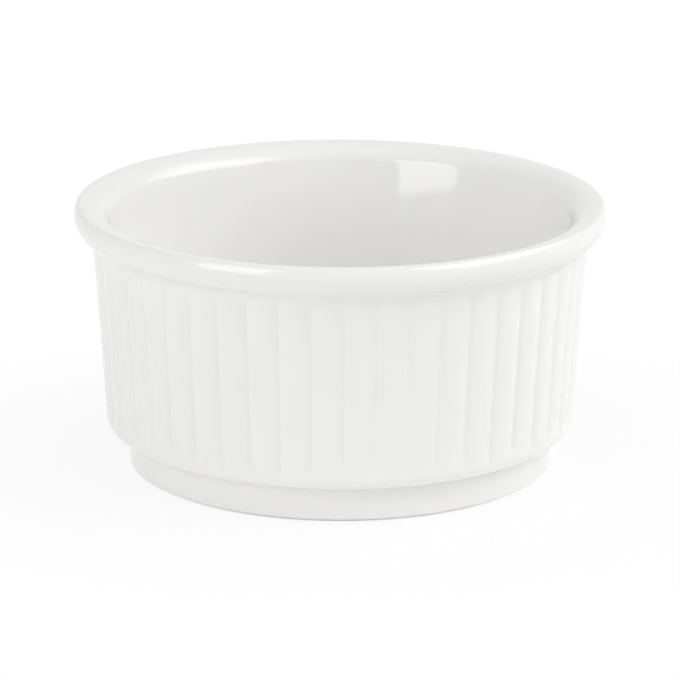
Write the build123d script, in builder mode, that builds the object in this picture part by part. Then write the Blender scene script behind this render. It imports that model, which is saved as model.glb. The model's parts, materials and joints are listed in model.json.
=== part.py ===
from build123d import *
import math
import os

# A small round baking dish of glazed porcelain, with a reeded wall, a rolled lip and a plain foot band.
# All lengths are in millimetres. The origin is at the middle of the circle it stands on, with +Z up.
os.makedirs("parts", exist_ok=True)

# Overall sizes of the glazed dish
rim_diameter = 90.0
overall_height = 45.5

# Lip: a rolled edge that flares out of the wall, is widest near its top and slopes into the bowl
lip_overhang = 3.2  # from the top of the wall out to the widest point
lip_depth = 7.0  # from the top of the wall up to the crown
lip_flare_angle = 33.0  # of the underside, above level
lip_roll_radius = 3.5
lip_crown_height = 1.9  # from the widest point up to the crown
lip_crown_width = 0.85  # from the widest point in to the crown
lip_slope_width = 5.0  # from the crown in to the bowl's wall
lip_slope_height = 3.2
cove_radius = 4.8

# Wall, measured over the reeds
wall_draft = 2.0  # how much smaller its radius is at the bottom
wall_thickness = 3.8

# Reeds: convex, side by side, with narrow grooves between them
reed_count = 48
reed_depth = 0.5
groove_radius = 0.35
clay_groove_radius = 0.2
reed_set_back = 0.03  # of the reeds' tops behind the plain band under them
hidden_wall_depth = 0.05  # of the turned wall behind the grooves
sleeve_thickness = 0.8  # of the reeded sleeve at its grooves

# Shoulder: plain and rounded, between the reeds and the foot
shoulder_height = 2.6  # from the top of the foot up to the bottom of the wall
shoulder_radius = 2.4
shoulder_ledge_angle = 10.0
plain_band_height = 0.2
reed_fade_height = 2.0  # over which the grooves run out above the plain band

# Foot
foot_step = 3.9  # from the bottom of the wall in to the foot
foot_height = 6.1
foot_edge_radius = 1.0
foot_corner_radius = 0.3  # where the foot meets the shoulder's ledge
foot_ring_width = 5.0
recess_depth = 2.0
recess_edge_radius = 0.8
recess_corner_radius = 0.6

# Bowl
floor_thickness = 4.8
bowl_corner_radius = 6.0
bowl_flare_angle = 10.8  # of the upper wall, off the vertical
bowl_flare_height = 9.3  # of the upper wall, from the lip's slope down
bowl_flare_radius = 60.0  # between the upper and the lower wall

# Glaze
glaze_thickness = 0.3
glaze_line_height = 0.5  # below it the foot ring is bare clay

# Places that follow from these sizes
rim_radius = rim_diameter / 2
wall_top_radius = rim_radius - lip_overhang
wall_top_height = overall_height - lip_depth
wall_bottom_radius = wall_top_radius - wall_draft
wall_bottom_height = foot_height + shoulder_height
wall_slope = wall_draft / (wall_top_height - wall_bottom_height)
foot_radius = wall_bottom_radius - foot_step
recess_radius = foot_radius - foot_ring_width
widest_height = overall_height - lip_crown_height
crown_radius = rim_radius - lip_crown_width
bowl_top_height = overall_height - lip_slope_height
bowl_flare_slope = math.tan(math.radians(bowl_flare_angle))
bowl_waist_height = bowl_top_height - bowl_flare_height
bowl_bottom_radius = wall_bottom_radius - wall_thickness
floor_height = recess_depth + floor_thickness


def wall_radius(height, depth):
    """Radius of the wall at a height, at a depth below the tops of the reeds."""
    return wall_bottom_radius + wall_slope * (height - wall_bottom_height) - depth


def corner_on_wall(radius, height, angle, depth):
    """Corner where a line through a point, rising outwards at an angle, meets the wall."""
    rise = math.tan(math.radians(angle))
    start = wall_radius(0, depth)
    corner_height = (height + rise * (start - radius)) / (1 - rise * wall_slope)
    return (wall_radius(corner_height, depth), corner_height)


def dish(inset, groove):
    """The dish with every face but the standing one drawn in by an inset."""
    # Corners of the turned outline, whose wall lies just behind the grooves
    wall_depth = inset + reed_depth + reed_set_back + hidden_wall_depth
    roll_radius = lip_roll_radius - inset
    roll_angle = 90 - lip_flare_angle
    roll_center = (rim_radius - lip_roll_radius, widest_height)
    flare_end = (
        roll_center[0] + roll_radius * math.cos(math.radians(roll_angle)),
        roll_center[1] - roll_radius * math.sin(math.radians(roll_angle)),
    )
    cove_corner = corner_on_wall(*flare_end, lip_flare_angle, wall_depth)
    foot_top = (foot_radius - inset, foot_height + inset)
    shoulder_corner = corner_on_wall(*foot_top, shoulder_ledge_angle, inset)
    band_bottom = wall_bottom_height
    band_top = band_bottom + plain_band_height
    fade_top = band_top + reed_fade_height
    underside = recess_depth + inset

    # The lip's slope is part of an ellipse, up to the point where it is as steep as the bowl's upper wall
    slope_width = lip_slope_width - inset
    slope_height = lip_slope_height - inset
    slope_left = math.atan(slope_height / slope_width * bowl_flare_slope)
    slope_end = (
        crown_radius - slope_width * math.cos(slope_left),
        bowl_top_height + slope_height * math.sin(slope_left),
    )
    bowl_waist_radius = slope_end[0] - bowl_flare_slope * (slope_end[1] - bowl_waist_height)

    # Reeded sleeve, from inside the plain band up into the lip
    sleeve_bottom = (band_bottom + band_top) / 2
    sleeve_top = flare_end[1]
    with BuildPart() as turned:
        for height in (sleeve_bottom, sleeve_top):
            crest = wall_radius(height, inset + reed_set_back)
            valley = crest - reed_depth
            with BuildSketch(Plane.XY.offset(height)) as reeds:
                with BuildLine():
                    for reed in range(reed_count):
                        left, middle, right = (
                            math.radians(360 / reed_count * (reed + side)) for side in (-0.5, 0, 0.5)
                        )
                        ThreePointArc(
                            (valley * math.cos(left), valley * math.sin(left)),
                            (crest * math.cos(middle), crest * math.sin(middle)),
                            (valley * math.cos(right), valley * math.sin(right)),
                        )
                make_face()
                fillet(reeds.vertices(), radius=groove)
        loft(ruled=True)
        core_depth = inset + reed_depth + sleeve_thickness
        with BuildSketch(Plane.XZ):
            with BuildLine():
                Polyline(
                    (0, foot_height),
                    (wall_radius(foot_height, core_depth), foot_height),
                    (wall_radius(overall_height, core_depth), overall_height),
                    (0, overall_height),
                    close=True,
                )
            make_face()
        revolve(axis=Axis.Z, mode=Mode.SUBTRACT)

        # The turned dish around and inside the sleeve
        with BuildSketch(Plane.XZ):
            with BuildLine():
                FilletPolyline(
                    (0, underside),
                    (recess_radius + inset, underside),
                    (recess_radius + inset, 0),
                    (foot_radius - inset, 0),
                    foot_top,
                    shoulder_corner,
                    (wall_radius(band_top, inset), band_top),
                    (wall_radius(fade_top, wall_depth), fade_top),
                    cove_corner,
                    flare_end,
                    radius=[
                        recess_corner_radius + inset,
                        recess_edge_radius,
                        foot_edge_radius,
                        foot_corner_radius + inset,
                        shoulder_radius - inset,
                        0,
                        0,
                        cove_radius + inset,
                    ],
                )
                CenterArc(roll_center, roll_radius, -roll_angle, roll_angle)
                EllipticalCenterArc(
                    (crown_radius, widest_height),
                    lip_crown_width - inset,
                    lip_crown_height - inset,
                    start_angle=0,
                    arc_size=90,
                )
                EllipticalCenterArc(
                    (crown_radius, bowl_top_height),
                    slope_width,
                    slope_height,
                    start_angle=90,
                    arc_size=90 - math.degrees(slope_left),
                )
                FilletPolyline(
                    slope_end,
                    (bowl_waist_radius, bowl_waist_height),
                    (bowl_bottom_radius + inset, floor_height - inset),
                    (0, floor_height - inset),
                    radius=[bowl_flare_radius, bowl_corner_radius + inset],
                )
                Line((0, floor_height - inset), (0, underside))
            make_face()
        revolve(axis=Axis.Z)
    return turned.part


# The fired clay: everything under the glaze, and the bare ring that it stands on
with BuildPart() as porcelain_body:
    add(dish(glaze_thickness, clay_groove_radius))
porcelain_body.part.label = "porcelain_body"

# The glaze: what the finished dish has outside the clay, above the glaze line
glazed_dish = dish(0, groove_radius)
with BuildPart() as glaze:
    add(glazed_dish)
    add(porcelain_body.part, mode=Mode.SUBTRACT)
    split(bisect_by=Plane.XY.offset(glaze_line_height), keep=Keep.TOP)
glaze_pieces = glaze.solids().sort_by(SortBy.VOLUME)

# The main coat, unbroken from the foot band over the lip to the middle of the bowl
with BuildPart() as glaze_coat:
    add(glaze_pieces[-1])
glaze_coat.part.label = "glaze_coat"

# The glaze in the recess under the floor, parted from the main coat by the bare ring
with BuildPart() as base_glaze:
    add(glaze_pieces[0])
base_glaze.part.label = "base_glaze"

for piece in (porcelain_body, glaze_coat, base_glaze):
    export_step(piece.part, f"parts/{piece.part.label}.step")
    print(piece.part.label, "volume", round(piece.part.volume / 1000, 2), "ml")
print("glaze pieces", len(glaze_pieces))
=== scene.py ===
import bmesh
import bpy
import json
import math
from mathutils import Matrix, Quaternion, Vector

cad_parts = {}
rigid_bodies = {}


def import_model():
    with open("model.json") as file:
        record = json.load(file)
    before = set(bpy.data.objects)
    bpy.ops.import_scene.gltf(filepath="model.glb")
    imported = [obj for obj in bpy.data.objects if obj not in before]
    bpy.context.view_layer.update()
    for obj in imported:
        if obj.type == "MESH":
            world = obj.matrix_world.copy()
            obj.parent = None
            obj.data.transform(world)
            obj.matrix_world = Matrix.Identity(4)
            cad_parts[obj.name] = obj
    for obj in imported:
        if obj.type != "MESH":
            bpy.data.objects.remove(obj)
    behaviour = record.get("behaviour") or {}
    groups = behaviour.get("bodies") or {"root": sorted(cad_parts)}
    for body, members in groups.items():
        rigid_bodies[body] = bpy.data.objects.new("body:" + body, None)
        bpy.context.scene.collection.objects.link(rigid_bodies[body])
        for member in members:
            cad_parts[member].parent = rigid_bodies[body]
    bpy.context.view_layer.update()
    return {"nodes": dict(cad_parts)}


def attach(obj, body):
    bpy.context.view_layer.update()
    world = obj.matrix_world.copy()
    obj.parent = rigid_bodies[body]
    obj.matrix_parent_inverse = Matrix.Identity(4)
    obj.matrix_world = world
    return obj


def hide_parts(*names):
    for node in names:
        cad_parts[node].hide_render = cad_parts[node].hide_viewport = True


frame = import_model()
print("frame loaded: porcelain body, glaze coat and base glaze")

mm = 0.001
upright = Vector((0, 0, 1))
across = Vector((0, 1, 0))  # outlines are drawn in the plane that this stands on
meshing = dict(
    mergeGap=1e-6,  # in metres, where sectors and poles close
    sharpAngle=50.0,  # a bend of more than this shows as an edge
)


# an outline is drawn one vertex at a time, in millimetres out from the axis and up from the floor
def place(radius, height):
    return Vector((radius * mm, 0, height * mm))


def lineTo(bm, start, end, cuts=0):
    begin = start.co.copy()
    for step in range(1, cuts + 2):
        start = bmesh.ops.extrude_vert_indiv(bm, verts=[start])["verts"][0]
        start.co = begin.lerp(end, step / (cuts + 1))
    return start


def arcTo(bm, start, center, degrees, steps, squash=1.0):
    # part of an ellipse is a circle's arc, squashed in height
    around = Matrix.Translation(-center)
    bmesh.ops.scale(bm, vec=(1, 1, 1 / squash), space=around, verts=[start])
    before = set(bm.verts)
    turned = bmesh.ops.spin(
        bm, geom=[start], cent=center, axis=across, angle=math.radians(degrees), steps=steps
    )
    arc = [v for v in bm.verts if v not in before] + [start]
    bmesh.ops.scale(bm, vec=(1, 1, squash), space=around, verts=arc)
    return [v for v in turned["geom_last"] if isinstance(v, bmesh.types.BMVert)][0]


def bendTo(bm, start, corner, towards, radius, steps, cuts=0):
    # a straight run that is rounded where it turns at the corner
    arriving = (corner - start.co).normalized()
    leaving = (towards - corner).normalized()
    turn = arriving.angle(leaving)
    side = 1 if across.dot(arriving.cross(leaving)) > 0 else -1
    tangent = lineTo(bm, start, corner - arriving * radius * math.tan(turn / 2), cuts)
    center = tangent.co + across.cross(arriving) * side * radius
    return arcTo(bm, tangent, center, side * math.degrees(turn), steps)


def turnSector(bm, sectors, columns):
    # the outline becomes a narrow sector of the dish
    bmesh.ops.spin(
        bm, geom=bm.verts[:] + bm.edges[:], cent=(0, 0, 0), axis=upright,
        angle=2 * math.pi / sectors, steps=columns,
    )


def repeatSectors(bm, sectors):
    # all the way round, and closed where the sectors meet and at the poles
    bmesh.ops.spin(
        bm, geom=bm.verts[:] + bm.edges[:] + bm.faces[:], cent=(0, 0, 0), axis=upright,
        angle=2 * math.pi * (sectors - 1) / sectors, steps=sectors - 1, use_duplicate=True,
    )
    bmesh.ops.remove_doubles(bm, verts=bm.verts, dist=meshing["mergeGap"])
    bmesh.ops.recalc_face_normals(bm, faces=bm.faces)


def finishPiece(bm, name, node, material):
    mesh = bpy.data.meshes.new(name)
    bm.to_mesh(mesh)
    bm.free()
    mesh.shade_smooth()
    mesh.set_sharp_from_angle(angle=math.radians(meshing["sharpAngle"]))
    mesh.materials.append(material)
    piece = bpy.data.objects.new(name, mesh)
    bpy.context.scene.collection.objects.link(piece)
    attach(piece, "root")
    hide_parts(node)
    print(name, len(mesh.vertices), "vertices", 2 * len(mesh.polygons), "triangles at most")


# glaze and clay, made of nodes that are fixed to the piece
def newMaterial(name):
    material = bpy.data.materials.new(name)
    material.use_nodes = True
    return material, material.node_tree.nodes, material.node_tree.links


def grain(nodes, links, scale, detail):
    # noise, with its scale in lumps to the metre
    where, noise = nodes.new("ShaderNodeTexCoord"), nodes.new("ShaderNodeTexNoise")
    noise.inputs["Scale"].default_value = scale
    noise.inputs["Detail"].default_value = detail
    links.new(where.outputs["Object"], noise.inputs["Vector"])
    return noise.outputs["Fac"]


def between(nodes, links, amount, low, high, start, end):
    # a number that goes from low to high as the amount goes from start to end
    span = nodes.new("ShaderNodeMapRange")
    for socket, value in (("From Min", start), ("From Max", end), ("To Min", low), ("To Max", high)):
        span.inputs[socket].default_value = value
    links.new(amount, span.inputs["Value"])
    return span.outputs["Result"]


def blend(nodes, links, amount, first, second):
    mix = nodes.new("ShaderNodeMix")
    mix.data_type = "RGBA"
    links.new(amount, mix.inputs["Factor"])
    for socket, color in ((mix.inputs[6], first), (mix.inputs[7], second)):  # its two colour inputs
        if isinstance(color, tuple):
            socket.default_value = (*color, 1)
        else:
            links.new(color, socket)
    return mix.outputs[2]  # its colour output


def ripple(nodes, links, height, depth, normal=None):
    bump = nodes.new("ShaderNodeBump")
    bump.inputs["Strength"].default_value = 1
    bump.inputs["Distance"].default_value = depth * mm
    links.new(height, bump.inputs["Height"])
    if normal:
        links.new(normal, bump.inputs["Normal"])
    return bump.outputs["Normal"]


glazeLook = dict(
    white=(0.938, 0.934, 0.916), cloudy=(0.931, 0.928, 0.907), pooled=(0.928, 0.928, 0.912),
    cloudScale=45.0, cloudDetail=4.0, cloudStart=0.35, cloudEnd=0.65,
    poolStart=0.35, poolEnd=1.0,  # of the way into a groove
    smooth=0.07, dull=0.12, dullScale=900.0, dullDetail=3.0, dullStart=0.3, dullEnd=0.7,
    ior=1.6,
    waveScale=260.0, waveDetail=1.0, waveDepth=0.008,  # the faint waves that a fired glaze keeps
    fineScale=1500.0, fineDetail=2.0, fineDepth=0.0006,
)
glazeWhite, nodes, links = newMaterial("glazeWhite")
shader = nodes["Principled BSDF"]
shader.inputs["IOR"].default_value = glazeLook["ior"]
clouds = grain(nodes, links, glazeLook["cloudScale"], glazeLook["cloudDetail"])
cloudy = between(nodes, links, clouds, 0, 1, glazeLook["cloudStart"], glazeLook["cloudEnd"])
pool = nodes.new("ShaderNodeAttribute")
pool.attribute_name = "pooling"
pooled = between(nodes, links, pool.outputs["Fac"], 0, 1, glazeLook["poolStart"], glazeLook["poolEnd"])
tint = blend(nodes, links, cloudy, glazeLook["white"], glazeLook["cloudy"])
links.new(blend(nodes, links, pooled, tint, glazeLook["pooled"]), shader.inputs["Base Color"])
dulling = grain(nodes, links, glazeLook["dullScale"], glazeLook["dullDetail"])
roughness = between(
    nodes, links, dulling, glazeLook["smooth"], glazeLook["dull"],
    glazeLook["dullStart"], glazeLook["dullEnd"],
)
links.new(roughness, shader.inputs["Roughness"])
wavy = grain(nodes, links, glazeLook["waveScale"], glazeLook["waveDetail"])
waves = ripple(nodes, links, wavy, glazeLook["waveDepth"])
fine = grain(nodes, links, glazeLook["fineScale"], glazeLook["fineDetail"])
links.new(ripple(nodes, links, fine, glazeLook["fineDepth"], waves), shader.inputs["Normal"])

clayLook = dict(
    pale=(0.900, 0.885, 0.850), warm=(0.865, 0.840, 0.790),
    patchScale=180.0, patchDetail=5.0, patchStart=0.35, patchEnd=0.7,
    sandScale=4200.0, sandDetail=3.0, sandDepth=0.02, sandStart=0.3, sandEnd=0.7,
    smooth=0.62, dull=0.85,
)
clayBare, nodes, links = newMaterial("clayBare")
shader = nodes["Principled BSDF"]
patches = grain(nodes, links, clayLook["patchScale"], clayLook["patchDetail"])
patchy = between(nodes, links, patches, 0, 1, clayLook["patchStart"], clayLook["patchEnd"])
links.new(blend(nodes, links, patchy, clayLook["pale"], clayLook["warm"]), shader.inputs["Base Color"])
sand = grain(nodes, links, clayLook["sandScale"], clayLook["sandDetail"])
roughness = between(
    nodes, links, sand, clayLook["smooth"], clayLook["dull"], clayLook["sandStart"], clayLook["sandEnd"]
)
links.new(roughness, shader.inputs["Roughness"])
links.new(ripple(nodes, links, sand, clayLook["sandDepth"]), shader.inputs["Normal"])
print("materials: white glaze and bare clay")


# glaze coat: the whole dish over the clay, with the CAD's sizes in millimetres
dish = dict(
    rim=45.0, height=45.5,
    crownHeight=1.9, crownWidth=0.85,  # from the widest point to the crown
    slopeWidth=5.0, slopeHeight=3.2,  # from the crown into the bowl
    rollRadius=3.5, flareAngle=33.0, coveRadius=4.8,
    wallBottom=39.8, wallBottomHeight=8.7, wallTop=41.8, wallTopHeight=38.5,
    bowlFlareAngle=10.8, bowlWaistHeight=33.0, bowlWaistRadius=60.0,
    bowlBottom=36.0, bowlFloor=6.8, bowlCornerRadius=6.0,
    ledgeAngle=10.0, shoulderRadius=2.4,
    foot=35.9, footHeight=6.1, footCornerRadius=0.3, footEdgeRadius=1.0,
    glazeThickness=0.3, glazeLine=0.5,
)
reeds = dict(
    count=48, depth=0.50, setBack=0.03,
    flatness=2.4,  # 2 is round like a part of a circle, and more is flatter in the middle
    hidden=0.05,  # of the turned wall behind the grooves
    fadeLow=7.6, fadeTop=10.8,  # between these heights the grooves run out
    fadeGap=0.1,  # from there up to the turned wall behind the grooves
    grooveBlend=0.13, endBlend=0.28,  # how softly the glaze rounds the grooves and the reeds' ends
    columns=14, crowding=0.66,  # steps to each reed, and how much they crowd to the grooves
    wallDepth=3.0,  # what lies further in is the bowl's side, which has no reeds
    axisGap=1e-3,
)
rows = dict(  # steps along each arc, and cuts in each straight run
    bowlFloor=2, bowlCorner=12, bowlSide=1, bowlWaist=4, bowlFlare=1, slope=12,
    crown=7, roll=9, flare=1, cove=18, wall=4,
    shoulderSide=7, shoulder=9, ledge=1, footCorner=4, footSide=1, footEdge=5,
)
innerShare = 4  # the hidden skin against the clay has one row for this many


def wallRadius(height, depth):
    slope = (dish["wallTop"] - dish["wallBottom"]) / (dish["wallTopHeight"] - dish["wallBottomHeight"])
    return dish["wallBottom"] + slope * (height - dish["wallBottomHeight"]) - depth


def grooveDepth(inset):
    return inset + reeds["depth"] + reeds["setBack"] + reeds["hidden"]


def cornerOnWall(point, degrees, depth):
    # where a line through the point, rising outwards, meets the wall
    rise = math.tan(math.radians(degrees))
    slope = wallRadius(1, depth) - wallRadius(0, depth)
    height = (point.z / mm + rise * (wallRadius(0, depth) - point.x / mm)) / (1 - rise * slope)
    return place(wallRadius(height, depth), height)


def drawBowl(bm, inset, rows):
    # from the middle of the floor up to the crown
    steep = math.tan(math.radians(dish["bowlFlareAngle"]))
    slopeWidth, slopeHeight = dish["slopeWidth"] - inset, dish["slopeHeight"] - inset
    left = math.atan(slopeHeight / slopeWidth * steep)
    center = place(dish["rim"] - dish["crownWidth"], dish["height"] - dish["slopeHeight"])
    slopeEnd = center + mm * Vector((-slopeWidth * math.cos(left), 0, slopeHeight * math.sin(left)))
    waistDrop = slopeEnd.z / mm - dish["bowlWaistHeight"]
    waist = place(slopeEnd.x / mm - steep * waistDrop, dish["bowlWaistHeight"])
    waistRadius = dish["bowlWaistRadius"] * mm
    floor = dish["bowlFloor"] - inset
    corner = place(dish["bowlBottom"] + inset, floor)
    cornerRadius = (dish["bowlCornerRadius"] + inset) * mm
    tip = bm.verts.new(place(0, floor))
    tip = bendTo(bm, tip, corner, waist, cornerRadius, rows["bowlCorner"], rows["bowlFloor"])
    tip = bendTo(bm, tip, waist, slopeEnd, waistRadius, rows["bowlWaist"], rows["bowlSide"])
    tip = lineTo(bm, tip, slopeEnd, rows["bowlFlare"])
    return arcTo(bm, tip, center, 90 - math.degrees(left), rows["slope"], slopeHeight / slopeWidth)


def drawOutside(bm, tip, inset, rows):
    # from the crown over the lip and down to the glaze line on the foot
    widest = dish["height"] - dish["crownHeight"]
    crownWidth, crownHeight = dish["crownWidth"] - inset, dish["crownHeight"] - inset
    crownCenter = place(dish["rim"] - dish["crownWidth"], widest)
    tip = arcTo(bm, tip, crownCenter, 90, rows["crown"], crownHeight / crownWidth)
    rollCenter = place(dish["rim"] - dish["rollRadius"], widest)
    tip = arcTo(bm, tip, rollCenter, 90 - dish["flareAngle"], rows["roll"])

    depth = grooveDepth(inset)
    grooveLow = reeds["fadeTop"] + reeds["fadeGap"]
    grooveEnd = place(wallRadius(grooveLow, depth), grooveLow)
    fadeTop = place(wallRadius(reeds["fadeTop"], inset), reeds["fadeTop"])
    footTop = place(dish["foot"] - inset, dish["footHeight"] + inset)
    footEdge = place(dish["foot"] - inset, dish["footEdgeRadius"])
    cove = cornerOnWall(tip.co, dish["flareAngle"], depth)
    coveRadius = (dish["coveRadius"] + inset) * mm
    shoulder = cornerOnWall(footTop, dish["ledgeAngle"], inset)
    shoulderRadius = (dish["shoulderRadius"] - inset) * mm
    footCornerRadius = (dish["footCornerRadius"] + inset) * mm
    tip = bendTo(bm, tip, cove, grooveEnd, coveRadius, rows["cove"], rows["flare"])
    tip = lineTo(bm, tip, grooveEnd, rows["wall"])
    tip = lineTo(bm, tip, fadeTop)
    tip = bendTo(bm, tip, shoulder, footTop, shoulderRadius, rows["shoulder"], rows["shoulderSide"])
    tip = bendTo(bm, tip, footTop, footEdge, footCornerRadius, rows["footCorner"], rows["ledge"])
    tip = lineTo(bm, tip, footEdge, rows["footSide"])
    edgeCenter = place(dish["foot"] - inset - dish["footEdgeRadius"], dish["footEdgeRadius"])
    down = math.degrees(math.asin(1 - dish["glazeLine"] / dish["footEdgeRadius"]))
    return arcTo(bm, tip, edgeCenter, down, rows["footEdge"])


def softMax(first, second, reach):
    # the larger of two numbers, rounded over a reach where they are close
    near = max(reach - abs(first - second), 0)
    return max(first, second) + near * near / (4 * reach)


def reedPart(angle):
    # where an angle lies on its reed, with the crest at 0 and the grooves at -0.5 and 0.5
    return (angle * reeds["count"] / (2 * math.pi) + 0.5) % 1 - 0.5


def reedRadius(turn, height, inset):
    # convex from groove to groove, where turn goes from 0 at the crest to 1 at the groove
    crest = wallRadius(height, inset + reeds["setBack"])
    near, far = (crest - reeds["depth"] * t ** reeds["flatness"] for t in (turn, 2 - turn))
    return softMax(near, far, reeds["grooveBlend"])


def reededRadius(radius, height, part, inset):
    reed = reedRadius(abs(2 * part), height, inset)
    if height > reeds["fadeTop"] + reeds["fadeGap"] / 2:
        return softMax(radius, reed, reeds["endBlend"])
    fade = (height - reeds["fadeLow"]) / (reeds["fadeTop"] - reeds["fadeLow"])
    full = softMax(wallRadius(height, grooveDepth(inset)), reed, reeds["endBlend"])
    drop = wallRadius(height, inset) - full
    return radius - drop * fade * fade * (3 - 2 * fade)


def shapeReeds(bm, inset):
    pooling = bm.verts.layers.float.get("pooling")
    for v in bm.verts:
        radius, height = math.hypot(v.co.x, v.co.y) / mm, v.co.z / mm
        if radius < reeds["axisGap"]:
            continue
        angle = math.atan2(v.co.y, v.co.x)
        angle += reeds["crowding"] / reeds["count"] * math.sin(2 * math.pi * reedPart(angle))
        outside = radius > wallRadius(height, reeds["wallDepth"])
        if outside and reeds["fadeLow"] < height < dish["height"] - dish["slopeHeight"]:
            radius = reededRadius(radius, height, reedPart(angle), inset)
            v[pooling] = min(max((wallRadius(height, inset) - radius) / reeds["depth"], 0), 1)
        v.co.x, v.co.y = radius * mm * math.cos(angle), radius * mm * math.sin(angle)


fewerRows = {run: max(count // innerShare, 1) for run, count in rows.items()}
skins = []
for inset, skinRows in ((0, rows), (dish["glazeThickness"], fewerRows)):
    bm = bmesh.new()
    bm.verts.layers.float.new("pooling")
    drawOutside(bm, drawBowl(bm, inset, skinRows), inset, skinRows)
    turnSector(bm, reeds["count"], reeds["columns"])
    shapeReeds(bm, inset)
    repeatSectors(bm, reeds["count"])
    if inset:
        bmesh.ops.reverse_faces(bm, faces=bm.faces)
    skins.append(bpy.data.meshes.new("skin"))
    bm.to_mesh(skins[-1])
    bm.free()

bm = bmesh.new()
for skin in skins:
    bm.from_mesh(skin)
    bpy.data.meshes.remove(skin)
bmesh.ops.bridge_loops(bm, edges=[e for e in bm.edges if e.is_boundary])
bmesh.ops.recalc_face_normals(bm, faces=bm.faces)
finishPiece(bm, "glazeCoat", "glaze_coat", glazeWhite)


# base glaze: in the recess under the floor
base = dict(
    recess=30.9, recessDepth=2.0, cornerRadius=0.6, edgeRadius=0.8,
    sectors=48, columns=4, topRows=6, cornerRows=6, edgeRows=3,
)
bm = bmesh.new()
ends = []
for inset in (0, dish["glazeThickness"]):
    wall = base["recess"] + inset
    top = base["recessDepth"] + inset
    low = place(wall, base["edgeRadius"])
    cornerRadius = (base["cornerRadius"] + inset) * mm
    tip = bm.verts.new(place(0, top))
    tip = bendTo(bm, tip, place(wall, top), low, cornerRadius, base["cornerRows"], base["topRows"])
    tip = lineTo(bm, tip, low)
    edgeCenter = place(wall + base["edgeRadius"], base["edgeRadius"])
    down = math.degrees(math.asin(1 - dish["glazeLine"] / base["edgeRadius"]))
    ends.append(arcTo(bm, tip, edgeCenter, -down, base["edgeRows"]))
bm.edges.new(ends)
turnSector(bm, base["sectors"], base["columns"])
repeatSectors(bm, base["sectors"])
finishPiece(bm, "baseGlaze", "base_glaze", glazeWhite)

# porcelain body: the CAD's own, which shows only as the bare foot ring
frame["nodes"]["porcelain_body"].material_slots[0].material = clayBare
print("porcelain body: bare clay")


# floor and light, with directions in degrees round from the front and up
studio = dict(
    floorSize=6.0, floorDrop=0.02, floorWhite=(0.97, 0.97, 0.97), floorRoughness=0.9,
    shadowDepth=0.15,  # of the floor's shadow as the camera sees it
    shadowStart=42.0, shadowEnd=88.0,  # from the middle, where it starts to run out and is gone
    softness=3.0,  # less spreads each side of the soft light further
    lampDistance=1.3, lampAim=30.0,
)
softLight = dict(  # each side's direction, and how bright
    left=(-90, 25, 0.55), right=(90, 12, 0.33), behind=(180, 40, 0.36),
    frontRight=(40, 25, 0.08), frontHigh=(0, 60, 0.48),
)
lamps = dict(  # each lamp's direction, degrees across and down, and how bright
    window=(-51, 20, 32, 40, 2.3),
    frontRight=(67, 35, 50, 40, 1.08),
    rightHigh=(80, 42, 66, 44, 1.25),
)


def direction(around, up):
    around, up = math.radians(around), math.radians(up)
    return Vector((math.sin(around) * math.cos(up), -math.cos(around) * math.cos(up), math.sin(up)))


def reckon(nodes, links, operation, first, second):
    # each of the two is a number or a socket
    step = nodes.new("ShaderNodeMath")
    step.operation = operation
    for socket, value in zip(step.inputs, (first, second)):
        if isinstance(value, bpy.types.NodeSocket):
            links.new(value, socket)
        else:
            socket.default_value = value
    return step.outputs[0]


def seenDirectly(nodes, links):
    # 1 for what the camera sees, also in gloss and through glass
    path = nodes.new("ShaderNodeLightPath")
    rays = ("Is Camera Ray", "Is Glossy Ray", "Is Transmission Ray")
    direct, glossy, through = (path.outputs[ray] for ray in rays)
    return reckon(nodes, links, "MAXIMUM", reckon(nodes, links, "MAXIMUM", direct, glossy), through)


floorWhite, nodes, links = newMaterial("floorWhite")
shader = nodes["Principled BSDF"]
shader.inputs["Base Color"].default_value = (*studio["floorWhite"], 1)
shader.inputs["Roughness"].default_value = studio["floorRoughness"]
glow, seen = nodes.new("ShaderNodeEmission"), nodes.new("ShaderNodeMixShader")
where, away = nodes.new("ShaderNodeTexCoord"), nodes.new("ShaderNodeVectorMath")
away.operation = "LENGTH"
links.new(where.outputs["Object"], away.inputs[0])
lift = between(
    nodes, links, away.outputs["Value"], 1 - studio["shadowDepth"], 1,
    studio["shadowStart"] * mm, studio["shadowEnd"] * mm,
)
links.new(reckon(nodes, links, "MULTIPLY", seenDirectly(nodes, links), lift), seen.inputs["Fac"])
links.new(shader.outputs[0], seen.inputs[1])
links.new(glow.outputs[0], seen.inputs[2])
links.new(seen.outputs[0], nodes["Material Output"].inputs["Surface"])
bm = bmesh.new()
bmesh.ops.create_grid(bm, x_segments=1, y_segments=1, size=studio["floorSize"] / 2)
bmesh.ops.translate(bm, vec=place(0, -studio["floorDrop"]), verts=bm.verts)
mesh = bpy.data.meshes.new("floor")
bm.to_mesh(mesh)
bm.free()
mesh.materials.append(floorWhite)
floor = bpy.data.objects.new("floor", mesh)
bpy.context.scene.collection.objects.link(floor)

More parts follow.
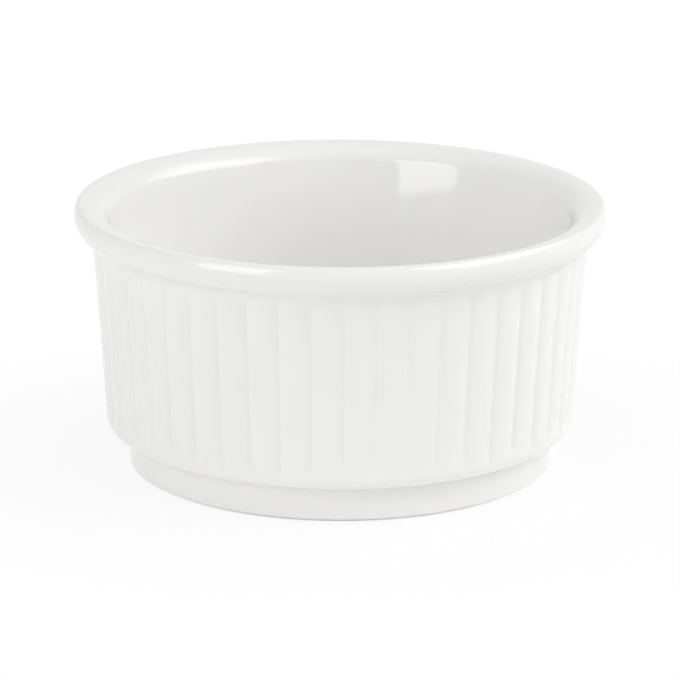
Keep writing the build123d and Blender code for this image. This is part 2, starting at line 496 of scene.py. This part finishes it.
world = bpy.data.worlds.new("studio")
bpy.context.scene.world = world
world.use_nodes = True
nodes, links = world.node_tree.nodes, world.node_tree.links
soft, white = nodes["Background"], nodes.new("ShaderNodeBackground")
choice, way = nodes.new("ShaderNodeMixShader"), nodes.new("ShaderNodeTexCoord")
total = 0
for around, up, bright in softLight.values():
    facing = nodes.new("ShaderNodeVectorMath")
    facing.operation = "DOT_PRODUCT"
    facing.inputs[1].default_value = direction(around, up)
    links.new(way.outputs["Generated"], facing.inputs[0])
    side = facing.outputs["Value"]
    for operation, value in (("MAXIMUM", 0), ("POWER", studio["softness"]), ("MULTIPLY", bright)):
        side = reckon(nodes, links, operation, side, value)
    total = reckon(nodes, links, "ADD", total, side)
links.new(total, soft.inputs["Strength"])
soft.inputs["Color"].default_value = (1, 1, 1, 1)
white.inputs["Color"].default_value = (1, 1, 1, 1)
links.new(seenDirectly(nodes, links), choice.inputs["Fac"])
links.new(soft.outputs[0], choice.inputs[1])
links.new(white.outputs[0], choice.inputs[2])
links.new(choice.outputs[0], nodes["World Output"].inputs["Surface"])

for name, (around, up, wide, tall, bright) in lamps.items():
    data = bpy.data.lights.new(name, "AREA")
    data.shape = "RECTANGLE"
    data.size, data.size_y = (
        2 * studio["lampDistance"] * math.tan(math.radians(span / 2)) for span in (wide, tall)
    )
    data.energy = math.pi * data.size * data.size_y * bright
    towards = direction(around, up)
    lamp = bpy.data.objects.new(name, data)
    lamp.location = place(0, studio["lampAim"]) + towards * studio["lampDistance"]
    lamp.rotation_euler = towards.to_track_quat("Z", "Y").to_euler()
    bpy.context.scene.collection.objects.link(lamp)
print("studio: floor, soft light and", len(lamps), "lamps")

camera = dict(
    distance=798.2, around=-4.7, up=15.82, aim=23.0,  # where it stands, from the axis at this height
    look=21.01, roll=0.18,  # the height that it looks at
    lens=248.1, sensor=36.0, nearest=0.05, farthest=20.0,
)
cam = bpy.data.objects.new("camera", bpy.data.cameras.new("camera"))
cam.data.lens = camera["lens"]
cam.data.sensor_width = camera["sensor"]
cam.data.clip_start, cam.data.clip_end = camera["nearest"], camera["farthest"]
out = direction(camera["around"], camera["up"]) * camera["distance"] * mm
cam.location = place(0, camera["aim"]) + out
look = (place(0, camera["look"]) - cam.location).to_track_quat("-Z", "Y")
cam.rotation_euler = (look @ Quaternion(upright, math.radians(camera["roll"]))).to_euler()
bpy.context.scene.collection.objects.link(cam)
bpy.context.scene.camera = cam
bpy.context.scene.view_settings.view_transform = "Standard"
print("camera set")
